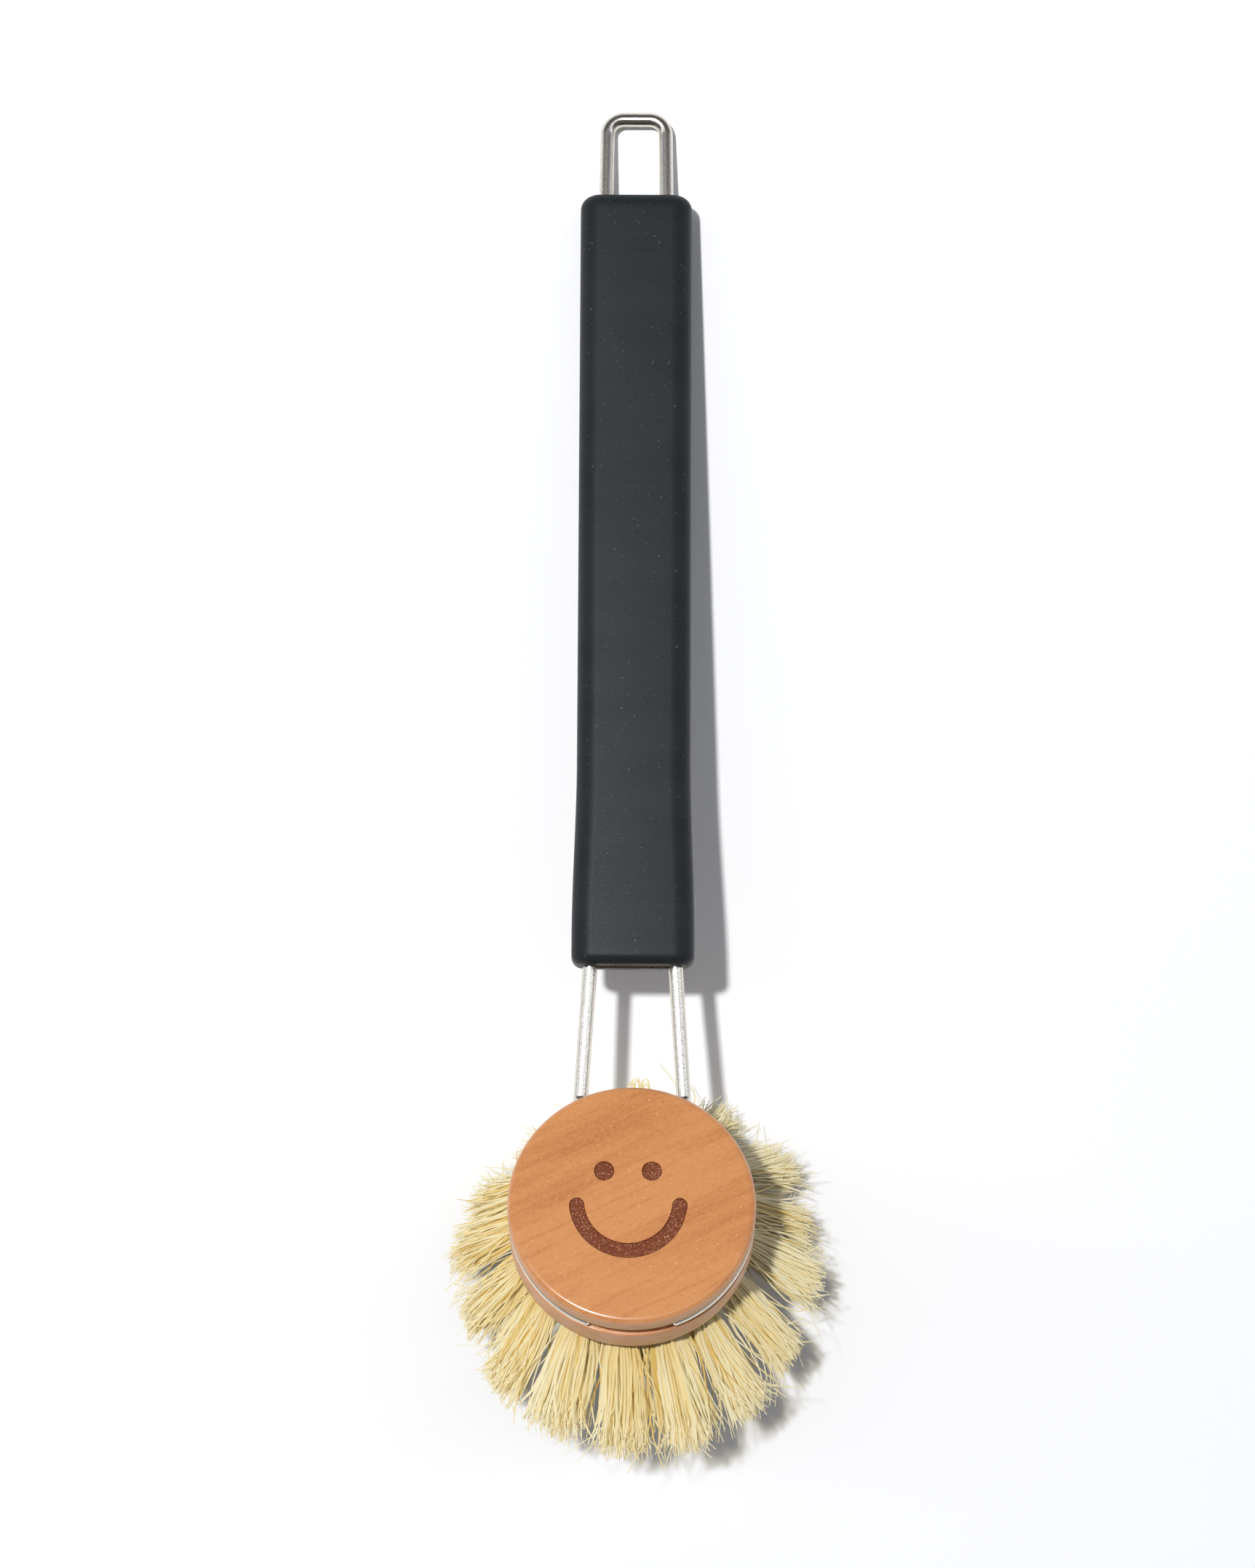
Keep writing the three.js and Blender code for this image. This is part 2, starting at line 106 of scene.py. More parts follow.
def rod(name, path, radius, chamfer, place):
    """A round rod along a path, with chamfered ends.

    Its attribute drawn_length holds the length along the rod and the place across it.
    """
    path = np.array([tuple(p) for p in path])
    first = path[0] + (path[1] - path[0]) / np.linalg.norm(path[1] - path[0]) * chamfer
    last = path[-1] + (path[-2] - path[-1]) / np.linalg.norm(path[-2] - path[-1]) * chamfer
    path = np.vstack([path[:1], first, path[1:-1], last, path[-1:]])
    radii = np.full(len(path), radius)
    radii[[0, -1]] = radius - chamfer
    runs = np.diff(path, axis=0)
    spans = np.linalg.norm(runs, axis=1)
    runs /= spans[:, None]
    lengths = np.concatenate([[0], np.cumsum(spans)])
    tangents = np.vstack([runs[:1], runs[:-1] + runs[1:], runs[-1:]])
    tangents /= np.linalg.norm(tangents, axis=1)[:, None]
    angles = np.linspace(0, 2 * np.pi, WIRE_SIDES, endpoint=False)
    side = np.cross(tangents[0], WIRE_SEAM_SIDE)
    points, drawn = [], []
    for point, tangent, length, r in zip(path, tangents, lengths, radii):
        side = side - tangent * side.dot(tangent)
        side /= np.linalg.norm(side)
        up = np.cross(tangent, side)
        points += [point + r * (math.cos(a) * side + math.sin(a) * up) for a in angles]
        drawn += [(length, r * math.cos(a), r * math.sin(a)) for a in angles]
    faces = [tuple(reversed(range(WIRE_SIDES)))]
    for s in range(len(path) - 1):
        here, onward = s * WIRE_SIDES, (s + 1) * WIRE_SIDES
        for i in range(WIRE_SIDES):
            n = (i + 1) % WIRE_SIDES
            faces.append((here + i, here + n, onward + n, onward + i))
    faces.append(tuple(range((len(path) - 1) * WIRE_SIDES, len(path) * WIRE_SIDES)))
    made = new_piece(name, points, faces, place)
    attribute = made.data.attributes.new("drawn_length", "FLOAT_VECTOR", "POINT")
    attribute.data.foreach_set("vector", np.array(drawn, np.float32).ravel())
    made.data.set_sharp_from_angle(angle=SHARP_FROM)
    return made


def on_ring(across, rearward):
    """A point of the ring's plane, in the handle's frame."""
    return ring_on_handle + Vector(
        (across, rearward * math.cos(FORK_BEND), -rearward * math.sin(FORK_BEND))
    )


def wire_half():
    """Half of the bent wire, from the ring's free end to the middle of the loop's crown."""
    to_ring = Vector((math.sin(LEG_SPLAY), -math.cos(LEG_SPLAY)))
    outward = Vector((math.cos(LEG_SPLAY), math.sin(LEG_SPLAY)))
    leg_run = FORK_LENGTH - FORK_BEND_FROM_RING * math.cos(FORK_BEND)
    fork = Vector((LEG_HALF_SPACING + leg_run * math.tan(LEG_SPLAY), FORK_BEND_FROM_RING))
    offset = fork + outward * RING_ENTRY_RADIUS
    reach = RING_RADIUS + RING_ENTRY_RADIUS
    toward = offset.dot(to_ring)
    run = -toward - math.sqrt(toward**2 - offset.length_squared + reach**2)
    entry = offset + to_ring * run
    ring_start = math.atan2(entry.y, entry.x)

    ring_angles = np.linspace(RING_MOUTH - math.pi / 2, ring_start, RING_STEPS)
    entry_angles = np.linspace(ring_start + math.pi, LEG_SPLAY + math.pi, ENTRY_STEPS)[1:]
    path = [on_ring(RING_RADIUS * math.cos(a), RING_RADIUS * math.sin(a)) for a in ring_angles]
    path += [
        on_ring(
            entry.x + RING_ENTRY_RADIUS * math.cos(a), entry.y + RING_ENTRY_RADIUS * math.sin(a)
        )
        for a in entry_angles
    ]
    leg_end = path[-1]
    fork_point = on_ring(*fork)
    grip_mouth = Vector((LEG_HALF_SPACING, 0, 0))
    loop_corner = Vector((LOOP_HALF_WIDTH, LOOP_CROWN, 0))
    crown = Vector((0, LOOP_CROWN, 0))
    fork_point += (fork_point - grip_mouth).normalized() * FORK_BEND_UNDER_CAP
    path += bend(leg_end, fork_point, grip_mouth, FORK_BEND_RADIUS, FORK_STEPS)
    path += bend(fork_point, grip_mouth, loop_corner, LEG_BEND_RADIUS, LEG_STEPS)
    path += bend(grip_mouth, loop_corner, crown, LOOP_CORNER_RADIUS, LOOP_STEPS)
    return path


right_half = wire_half()
left_half = [Vector((-p.x, p.y, p.z)) for p in reversed(right_half)]
wire = rod("bent_wire", right_half + left_half, WIRE_RADIUS, WIRE_END_CHAMFER, handle_place)


def node(tree, kind, values=None, **settings):
    """A shader node with its settings, and its inputs set to values or linked to sockets."""
    made = tree.nodes.new("ShaderNode" + kind)
    for name, setting in settings.items():
        setattr(made, name, setting)
    for socket, value in (values or {}).items():
        if isinstance(value, bpy.types.NodeSocket):
            tree.links.new(value, made.inputs[socket])
        else:
            made.inputs[socket].default_value = value
    return made


def finish_material(name, **surface):
    """A material whose Principled BSDF has the given plain values.

    Returns the material, its node tree and the shader.
    """
    made = bpy.data.materials.new(name)
    made.use_nodes = True
    shader = made.node_tree.nodes["Principled BSDF"]
    for socket, value in surface.items():
        shader.inputs[socket.replace("_", " ")].default_value = value
    return made, made.node_tree, shader


def effect_group(name, inputs, output):
    """A shader node group with named inputs and one output value.

    Returns its node tree, the sockets it is given and the sockets it puts out.
    """
    tree = bpy.data.node_groups.new(name, "ShaderNodeTree")
    for socket, (kind, value) in inputs.items():
        made = tree.interface.new_socket(socket, in_out="INPUT", socket_type=kind)
        if value is not None:
            made.default_value = value
    tree.interface.new_socket(output, in_out="OUTPUT", socket_type="NodeSocketFloat")
    return tree, tree.nodes.new("NodeGroupInput").outputs, tree.nodes.new("NodeGroupOutput").inputs


# Streaks: cloudy lines, drawn out along the first axis of the coordinates they are given.
streaks, given, out = effect_group(
    "streaks",
    {
        "Vector": ("NodeSocketVector", None),
        "Along": ("NodeSocketFloat", 100.0),
        "Across": ("NodeSocketFloat", 1000.0),
        "Low": ("NodeSocketFloat", 0.35),
        "High": ("NodeSocketFloat", 0.65),
    },
    "Mask",
)
stretch = node(streaks, "CombineXYZ", {0: given["Along"], 1: given["Across"], 2: given["Across"]})
drawn_out = node(
    streaks, "VectorMath", {0: given["Vector"], 1: stretch.outputs[0]}, operation="MULTIPLY"
)
cloud = node(
    streaks,
    "TexNoise",
    {"Vector": drawn_out.outputs[0], "Scale": 1.0, "Detail": 4.0, "Roughness": 0.6},
)
cut = node(
    streaks,
    "MapRange",
    {"Value": cloud.outputs["Fac"], "From Min": given["Low"], "From Max": given["High"]},
)
streaks.links.new(cut.outputs[0], out["Mask"])


def place_group(tree, group, **values):
    """An effect group placed in a material with its own values. Returns its output socket."""
    made = tree.nodes.new("ShaderNodeGroup")
    made.node_tree = group
    for socket, value in values.items():
        if isinstance(value, bpy.types.NodeSocket):
            tree.links.new(value, made.inputs[socket])
        else:
            made.inputs[socket].default_value = value
    return made.outputs[0]


def mix_colours(tree, factor, first, second):
    """The socket of two colours mixed by a factor."""
    made = node(tree, "Mix", {0: factor, 6: first, 7: second}, data_type="RGBA")
    return made.outputs[2]


def spread_value(tree, value, low, high):
    """A mask from 0 to 1 spread over another range."""
    return node(tree, "MapRange", {"Value": value, "To Min": low, "To Max": high}).outputs[0]


NICKEL = (0.88, 0.84, 0.76, 1)
NICKEL_SHADE = (0.59, 0.56, 0.48, 1)
NICKEL_PIT = (0.32, 0.29, 0.23, 1)
NICKEL_ROUGHNESS = (0.22, 0.15)
plated_steel, tree, shader = finish_material("plated_steel", Metallic=1.0)
drawn = node(tree, "Attribute", attribute_name="drawn_length").outputs["Vector"]
draw_lines = place_group(tree, streaks, Vector=drawn, Along=2600.0, Across=7000.0)
pits = place_group(tree, streaks, Vector=drawn, Along=3600.0, Across=6500.0, Low=0.56, High=0.71)
colour = mix_colours(tree, draw_lines, NICKEL_SHADE, NICKEL)
tree.links.new(mix_colours(tree, pits, colour, NICKEL_PIT), shader.inputs["Base Color"])
tree.links.new(spread_value(tree, draw_lines, *NICKEL_ROUGHNESS), shader.inputs["Roughness"])
relief = node(tree, "Math", {0: draw_lines, 1: pits}, operation="SUBTRACT")
bump = node(tree, "Bump", {"Height": relief.outputs[0], "Strength": 0.2, "Distance": 0.00004})
tree.links.new(bump.outputs[0], shader.inputs["Normal"])

wire.data.materials.append(plated_steel)
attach(wire, "handle")
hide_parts("wire_frame")


# Cross bar
# A short rod of steel, welded between the two legs as they leave the grip. Its colour is a painted
# shade: near black, for the dark underside of the rod below the grip's edge. It keeps the legs
# apart and stops the grip from creeping down the wire.
BAR_RADIUS = 0.0012
BAR_HALF_LENGTH = 0.0078
BAR_INTO_MOUTH = 0.0008
bar_ends = [Vector((x, BAR_INTO_MOUTH, 0)) for x in (-BAR_HALF_LENGTH, BAR_HALF_LENGTH)]
bar = rod("cross_rod", bar_ends, BAR_RADIUS, WIRE_END_CHAMFER, handle_place)

# Painted shade: the rod's steel colours are near black, for its dark underside below the grip's
# edge.
BAR_PAINTED_SHADE = (0.2, 0.195, 0.185, 1)
BAR_PAINTED_SHADE_DARK = (0.07, 0.068, 0.065, 1)
WELD_ROUGHNESS = (0.55, 0.35)
shade_painted_steel, tree, shader = finish_material("shade_painted_steel", Metallic=1.0)
drawn = node(tree, "Attribute", attribute_name="drawn_length").outputs["Vector"]
bar_shade_streaks = place_group(tree, streaks, Vector=drawn, Along=1400.0, Across=4000.0)
colour = mix_colours(tree, bar_shade_streaks, BAR_PAINTED_SHADE_DARK, BAR_PAINTED_SHADE)
tree.links.new(colour, shader.inputs["Base Color"])
tree.links.new(spread_value(tree, bar_shade_streaks, *WELD_ROUGHNESS), shader.inputs["Roughness"])
bar.data.materials.append(shade_painted_steel)
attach(bar, "handle")
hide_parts("cross_bar")


# Grip
# A sleeve of soft anthracite rubber, moulded in one piece over the two legs. It is flat above and
# below with rounded sides, a little wider at the fork, and open there in a slot for the cross bar.
GRIP_LENGTH = 0.1645
GRIP_HALF_THICKNESS = 0.0065
GRIP_WAIST = 0.0118
GRIP_FORK = 0.01265
FLARE_FROM, FLARE_TO = 0.042, 0.006
SIDE_RADIUS = 0.0044
FORK_END_RADIUS = 0.0021
TAIL_END_RADIUS = 0.003
LEAST_RADIUS = 0.0003
SECTION_FROM, SECTION_EVERY = 0.0045, 0.003
CORNER_STEPS, END_STEPS, HOLE_STEPS = 10, 8, 12
SLEEVE_FIT = 0.0001
MOUTH_DEPTH, TAIL_HOLE_DEPTH, CUT_PAST_END = 0.003, 0.006, 0.002


def grip_section(y, inset):
    """One closed cross-section of the grip, drawn in at the rounded ends."""
    t = min(max((y - FLARE_TO) / (FLARE_FROM - FLARE_TO), 0), 1)
    half_width = GRIP_FORK + (GRIP_WAIST - GRIP_FORK) * t * t * (3 - 2 * t)
    radius = max(SIDE_RADIUS - inset, LEAST_RADIUS)
    corner_x, corner_z = half_width - inset - radius, GRIP_HALF_THICKNESS - inset - radius
    ring = []
    for quarter, (sx, sz) in enumerate(((1, 1), (-1, 1), (-1, -1), (1, -1))):
        for i in range(CORNER_STEPS + 1):
            a = (quarter + i / CORNER_STEPS) * math.pi / 2
            x, z = sx * corner_x + radius * math.cos(a), sz * corner_z + radius * math.sin(a)
            ring.append((x, y, z))
    return ring


def loft(name, rings, place):
    """A closed skin over rings of points."""
    count = len(rings[0])
    last = range((len(rings) - 1) * count, len(rings) * count)
    faces = [tuple(range(count)), tuple(reversed(last))]
    for s in range(len(rings) - 1):
        for i in range(count):
            n = (i + 1) % count
            faces.append((s * count + n, s * count + i, (s + 1) * count + i, (s + 1) * count + n))
    return new_piece(name, [p for ring in rings for p in ring], faces, place)


def cut_away(piece, cutters):
    """Cuts the cutters out of a piece and removes them."""
    for cutter in cutters:
        made = piece.modifiers.new("cut", "BOOLEAN")
        made.object, made.operation, made.solver = cutter, "DIFFERENCE", "EXACT"
    bpy.context.view_layer.update()
    evaluated = piece.evaluated_get(bpy.context.evaluated_depsgraph_get())
    cut_mesh = bpy.data.meshes.new_from_object(evaluated)
    piece.modifiers.clear()
    old = piece.data
    piece.data = cut_mesh
    cut_mesh.name = piece.name
    bpy.data.meshes.remove(old)
    for cutter in cutters:
        bpy.data.objects.remove(cutter)


quarter_turn = [i / END_STEPS * math.pi / 2 for i in range(END_STEPS + 1)]
sections = [
    grip_section(FORK_END_RADIUS * (1 - math.cos(a)), FORK_END_RADIUS * (1 - math.sin(a)))
    for a in quarter_turn
]
straight = np.arange(SECTION_FROM, GRIP_LENGTH - TAIL_END_RADIUS, SECTION_EVERY)
sections += [grip_section(y, 0) for y in straight]
sections += [
    grip_section(
        GRIP_LENGTH - TAIL_END_RADIUS * (1 - math.sin(a)), TAIL_END_RADIUS * (1 - math.cos(a))
    )
    for a in quarter_turn
]
grip = loft("moulded_grip", sections, handle_place)
leg_slope = (LEG_HALF_SPACING - LOOP_HALF_WIDTH) / LOOP_CROWN
hole_radius = WIRE_RADIUS + SLEEVE_FIT
cutters = []
for side in (-1, 1):
    tail_hole = [
        Vector((side * (LEG_HALF_SPACING - leg_slope * y), y, 0))
        for y in (GRIP_LENGTH - TAIL_HOLE_DEPTH, GRIP_LENGTH + CUT_PAST_END)
    ]
    cutters.append(rod(f"tail_hole_{side}", tail_hole, hole_radius, SLEEVE_FIT, handle_place))
mouth_ring = []
hole_half_turn = math.pi - math.asin((BAR_RADIUS + SLEEVE_FIT) / hole_radius)
for side in (1, -1):
    for i in range(2 * HOLE_STEPS + 1):
        a = hole_half_turn * (i / HOLE_STEPS - 1)
        across = LEG_HALF_SPACING + hole_radius * math.cos(a)
        mouth_ring.append((side * across, side * hole_radius * math.sin(a)))
mouth_sections = [[(x, y, z) for x, z in mouth_ring] for y in (-CUT_PAST_END, MOUTH_DEPTH)]
cutters.append(loft("mouth", mouth_sections, handle_place))
cut_away(grip, cutters)
grip.data.set_sharp_from_angle(angle=SHARP_FROM)

# Specks: round dots of uneven size, scattered over a share of the cells.
specks, given, out = effect_group(
    "specks",
    {
        "Vector": ("NodeSocketVector", None),
        "Cells": ("NodeSocketFloat", 800.0),
        "Share": ("NodeSocketFloat", 0.2),
        "Size": ("NodeSocketFloat", 0.2),
    },
    "Mask",
)
cells = node(specks, "TexVoronoi", {"Vector": given["Vector"], "Scale": given["Cells"]})
lot = node(specks, "SeparateColor", {0: cells.outputs["Color"]})
held = node(specks, "Math", {0: lot.outputs[0], 1: given["Share"]}, operation="LESS_THAN")
size = node(specks, "Math", {0: lot.outputs[1], 1: given["Size"]}, operation="MULTIPLY")
dot = node(
    specks,
    "MapRange",
    {"Value": cells.outputs["Distance"], "From Min": size.outputs[0], "From Max": 0.0},
)
kept = node(specks, "Math", {0: held.outputs[0], 1: dot.outputs[0]}, operation="MULTIPLY")
sharp = node(specks, "Math", {0: kept.outputs[0], 1: 2.5}, operation="MULTIPLY", use_clamp=True)
specks.links.new(sharp.outputs[0], out["Mask"])

RUBBER = (0.0175, 0.0222, 0.0252, 1)
RUBBER_SHADE = (0.0138, 0.0175, 0.0198, 1)
RUBBER_ROUGHNESS = (0.38, 0.52)
DUST, DUST_FILM = (0.17, 0.2, 0.195, 1), 0.6
soft_rubber, tree, shader = finish_material("soft_rubber", Specular_IOR_Level=0.15)
here = node(tree, "TexCoord").outputs["Object"]
patches = place_group(tree, streaks, Vector=here, Along=40.0, Across=140.0)
grain = place_group(tree, streaks, Vector=here, Along=5500.0, Across=5500.0)
dust = place_group(tree, specks, Vector=here, Cells=620.0, Share=0.5, Size=0.13)
fine_dust = place_group(tree, specks, Vector=here, Cells=1500.0, Share=0.34, Size=0.2)
all_dust = node(tree, "Math", {0: dust, 1: fine_dust}, operation="MAXIMUM").outputs[0]
film = node(tree, "Math", {0: all_dust, 1: DUST_FILM}, operation="MULTIPLY").outputs[0]
colour = mix_colours(tree, patches, RUBBER_SHADE, RUBBER)
tree.links.new(mix_colours(tree, film, colour, DUST), shader.inputs["Base Color"])
tree.links.new(spread_value(tree, grain, *RUBBER_ROUGHNESS), shader.inputs["Roughness"])
bump = node(tree, "Bump", {"Height": grain, "Strength": 0.16, "Distance": 0.00004})
tree.links.new(bump.outputs[0], shader.inputs["Normal"])
grip.data.materials.append(soft_rubber)
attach(grip, "handle")
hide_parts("grip")


# Head block
# One disc of beech turned on a lathe: a flat cap with a rounded edge, a groove for the wire ring
# and a base drilled for the tufts. It is stained and lacquered, with two dots and an arc burnt in.
HEAD_RADIUS = 0.025
CAP_TOP, CAP_EDGE = 0.0066, 0.0014
GROOVE_HALF_HEIGHT, GROOVE_FLOOR = 0.0018, 0.0215
BASE_BOTTOM, BASE_EDGE = -0.0098, 0.0009
RIM_CHAMFER = 0.0005
HEAD_SIDES, BORE_SIDES, DOT_SIDES = 180, 24, 48
CAP_STEPS, RIM_STEPS, BASE_STEPS = 10, 4, 6
LACQUERED_STEPS = 5
HEAD_SHARP_FROM = math.radians(40)
BORE_RADIUS, BORE_DEPTH = 0.0025, 0.003
BURN_DEPTH, BURN_SLOPE = 0.0003, 0.0002
DOT_RADIUS = 0.00205
DOT_CENTRES = ((-0.0056, 0.0068), (0.004, 0.0068))
ARC_CENTRE, ARC_RADIUS, ARC_HALF_STROKE = (-0.0007, 0.00055), 0.0104, 0.00155
ARC_HALF_ANGLE = math.radians(85)
ARC_STEPS, ARC_END_STEPS = 40, 12
FACE_WOOD, RIM_WOOD, BURNT, BORE_WOOD = range(4)
TUFT_ROWS = {
    "outer": {"count": 16, "phase": -5.5, "radius": 0.0194},
    "middle": {"count": 10, "phase": 0, "radius": 0.0124},
    "inner": {"count": 5, "phase": 0, "radius": 0.006},
    "centre": {"count": 1, "phase": 0, "radius": 0.0},
}


def tuft_angles(row):
    return [math.radians(row["phase"] + 360 * i / row["count"] - 90) for i in range(row["count"])]


def circle(x, y, radius, steps):
    angles = [2 * math.pi * i / steps for i in range(steps)]
    return [(x + radius * math.cos(a), y + radius * math.sin(a)) for a in angles]


def arc_stroke(half_stroke):
    """The outline of the burnt arc, with round ends."""
    outline = []
    x, y = ARC_CENTRE
    for sign, ends in ((1, (-1, 1)), (-1, (1, -1))):
        for i in range(ARC_STEPS + 1):
            swing = ARC_HALF_ANGLE * (ends[0] + (ends[1] - ends[0]) * i / ARC_STEPS)
            a = swing - math.pi / 2
            r = ARC_RADIUS + sign * half_stroke
            outline.append((x + r * math.cos(a), y + r * math.sin(a)))
        end = ARC_HALF_ANGLE * ends[1] - math.pi / 2
        tip = (x + ARC_RADIUS * math.cos(end), y + ARC_RADIUS * math.sin(end))
        turn_from = end if sign > 0 else end + math.pi
        for i in range(1, ARC_END_STEPS):
            a = turn_from + math.pi * i / ARC_END_STEPS
            outline.append((tip[0] + half_stroke * math.cos(a), tip[1] + half_stroke * math.sin(a)))
    return outline


class HeadMesh:
    """Gathers the points and faces of the head block, with one finish for each face."""

    def __init__(self):
        self.points, self.faces, self.finishes = [], [], []

    def ring(self, outline, z):
        start = len(self.points)
        self.points += [(x, y, z) for x, y in outline]
        return list(range(start, len(self.points)))

    def add(self, face, finish):
        self.faces.append(tuple(face))
        self.finishes.append(finish)

    def wall(self, upper, lower, finish):
        """Faces between two rings. They face outwards if upper is the higher of two outer ones."""
        for i in range(len(upper)):
            n = (i + 1) % len(upper)
            self.add((upper[i], lower[i], lower[n], upper[n]), finish)

    def sheet(self, outer, holes, up, finish):
        """A flat face with holes in it."""
        loops = [[Vector(self.points[i]) for i in loop] for loop in (outer, *holes)]
        order = [i for loop in (outer, *holes) for i in loop]
        for triangle in tessellate_polygon(loops):
            a, b, c = (Vector(self.points[order[t]]) for t in triangle)
            face = [order[t] for t in triangle]
            self.add(face if ((b - a).cross(c - a).z > 0) == up else face[::-1], finish)


def turned_edge(r, z, radius, start, end, steps):
    angles = [start + (end - start) * i / steps for i in range(steps + 1)]
    return [(r + radius * math.cos(a), z + radius * math.sin(a)) for a in angles]


block = HeadMesh()
rim, lip = HEAD_RADIUS - RIM_CHAMFER, GROOVE_HALF_HEIGHT + RIM_CHAMFER
profile = turned_edge(
    HEAD_RADIUS - CAP_EDGE, CAP_TOP - CAP_EDGE, CAP_EDGE, math.pi / 2, 0, CAP_STEPS
)
profile += turned_edge(rim, lip, RIM_CHAMFER, 0, -math.pi / 2, RIM_STEPS)
profile += [(GROOVE_FLOOR, GROOVE_HALF_HEIGHT), (GROOVE_FLOOR, -GROOVE_HALF_HEIGHT)]
profile += turned_edge(rim, -lip, RIM_CHAMFER, math.pi / 2, 0, RIM_STEPS)
profile += turned_edge(
    HEAD_RADIUS - BASE_EDGE, BASE_BOTTOM + BASE_EDGE, BASE_EDGE, 0, -math.pi / 2, BASE_STEPS
)
rings = [block.ring(circle(0, 0, r, HEAD_SIDES), z) for r, z in profile]
for number, (upper, lower) in enumerate(zip(rings, rings[1:])):
    block.wall(upper, lower, FACE_WOOD if number < LACQUERED_STEPS else RIM_WOOD)

burnt_outlines = [
    (circle(x, y, DOT_RADIUS, DOT_SIDES), circle(x, y, DOT_RADIUS - BURN_SLOPE, DOT_SIDES))
    for x, y in DOT_CENTRES
]
burnt_outlines.append((arc_stroke(ARC_HALF_STROKE), arc_stroke(ARC_HALF_STROKE - BURN_SLOPE)))
burnt_rings = []
for edge, floor in burnt_outlines:
    edge_ring = block.ring(edge, CAP_TOP)
    floor_ring = block.ring(floor, CAP_TOP - BURN_DEPTH)
    block.wall(floor_ring, edge_ring, BURNT)
    block.sheet(floor_ring, [], True, BURNT)
    burnt_rings.append(edge_ring)
block.sheet(rings[0], burnt_rings, True, FACE_WOOD)

bore_rings = []
for row in TUFT_ROWS.values():
    for angle in tuft_angles(row):
        x, y = row["radius"] * math.cos(angle), row["radius"] * math.sin(angle)
        outline = circle(x, y, BORE_RADIUS, BORE_SIDES)
        mouth = block.ring(outline, BASE_BOTTOM)
        end = block.ring(outline, BASE_BOTTOM + BORE_DEPTH)
        block.wall(mouth, end, BORE_WOOD)
        block.sheet(end, [], False, BORE_WOOD)
        bore_rings.append(mouth)
block.sheet(rings[-1], bore_rings, False, RIM_WOOD)
head = new_piece("turned_head", block.points, block.faces, head_place)
head.data.polygons.foreach_set("material_index", block.finishes)
head.data.set_sharp_from_angle(angle=HEAD_SHARP_FROM)

BEECH = (0.615, 0.26, 0.091, 1)
BEECH_DARK = (0.44, 0.15, 0.042, 1)
BEECH_LIGHT = (0.75, 0.36, 0.154, 1)
BEECH_FLECK = (0.85, 0.5, 0.27, 1)
RIM_BEECH = (0.68, 0.34, 0.165, 1)
CHAR = (0.225, 0.056, 0.018, 1)
CHAR_DARK = (0.145, 0.03, 0.008, 1)
CHAR_GLINT = (0.64, 0.33, 0.2, 1)
BEECH_ROUGHNESS, RIM_ROUGHNESS, CHAR_ROUGHNESS = (0.36, 0.5), (0.36, 0.52), (0.4, 0.65)
GRAIN_ANGLE = math.radians(26)
SCRATCH_ANGLE = math.radians(-52)


def turned_coordinates(tree, angle):
    """The piece's own coordinates with the first axis turned by an angle on the face."""
    place = node(tree, "TexCoord").outputs["Object"]
    return node(tree, "Mapping", {"Vector": place, "Rotation": (0, 0, -angle)}).outputs[0]


def tint(tree, mask, strength, colour, other):
    """A colour mixed towards another one where a mask is set."""
    return mix_colours(tree, spread_value(tree, mask, 0.0, strength), colour, other)


lacquered_beech, tree, shader = finish_material(
    "lacquered_beech", Coat_Weight=1.0, Coat_Roughness=0.24, Specular_IOR_Level=0.05
)
along_grain = turned_coordinates(tree, GRAIN_ANGLE)
bands = place_group(
    tree, streaks, Vector=along_grain, Along=22.0, Across=210.0, Low=0.46, High=0.7
)
lines = place_group(
    tree, streaks, Vector=along_grain, Along=24.0, Across=800.0, Low=0.54, High=0.7
)
mottle = place_group(tree, streaks, Vector=along_grain, Along=1100.0, Across=1700.0)
pores = place_group(
    tree, streaks, Vector=along_grain, Along=700.0, Across=3600.0, Low=0.6, High=0.72
)
flecks = place_group(tree, specks, Vector=along_grain, Cells=1200.0, Share=0.3, Size=0.3)
rubbed = turned_coordinates(tree, SCRATCH_ANGLE)
scratches = place_group(
    tree, streaks, Vector=rubbed, Along=90.0, Across=7000.0, Low=0.62, High=0.72
)
colour = tint(tree, bands, 0.72, BEECH, BEECH_DARK)
colour = tint(tree, lines, 0.5, colour, BEECH_DARK)
colour = tint(tree, mottle, 0.3, colour, BEECH_LIGHT)
colour = tint(tree, pores, 0.5, colour, BEECH_DARK)
colour = tint(tree, scratches, 0.35, colour, BEECH_LIGHT)
colour = tint(tree, flecks, 0.55, colour, BEECH_FLECK)
tree.links.new(colour, shader.inputs["Base Color"])
tree.links.new(spread_value(tree, mottle, *BEECH_ROUGHNESS), shader.inputs["Roughness"])
uneven = node(tree, "Math", {0: mottle, 1: scratches}, operation="SUBTRACT")
bump = node(tree, "Bump", {"Height": uneven.outputs[0], "Strength": 0.25, "Distance": 0.00006})
tree.links.new(bump.outputs[0], shader.inputs["Normal"])

turned_beech, tree, shader = finish_material(
    "turned_beech", Coat_Weight=0.3, Coat_Roughness=0.2, Specular_IOR_Level=0.4
)
along_grain = turned_coordinates(tree, GRAIN_ANGLE)
end_grain = place_group(tree, streaks, Vector=along_grain, Along=120.0, Across=420.0)
bands = place_group(
    tree, streaks, Vector=along_grain, Along=22.0, Across=210.0, Low=0.46, High=0.7
)
pores = place_group(
    tree, streaks, Vector=along_grain, Along=900.0, Across=3000.0, Low=0.57, High=0.7
)
tool_marks = place_group(
    tree, streaks, Vector=node(tree, "TexCoord").outputs["Object"], Along=60.0, Across=3500.0
)
colour = tint(tree, end_grain, 0.7, RIM_BEECH, BEECH)
colour = tint(tree, bands, 0.5, colour, BEECH_DARK)
colour = tint(tree, pores, 0.5, colour, BEECH_DARK)
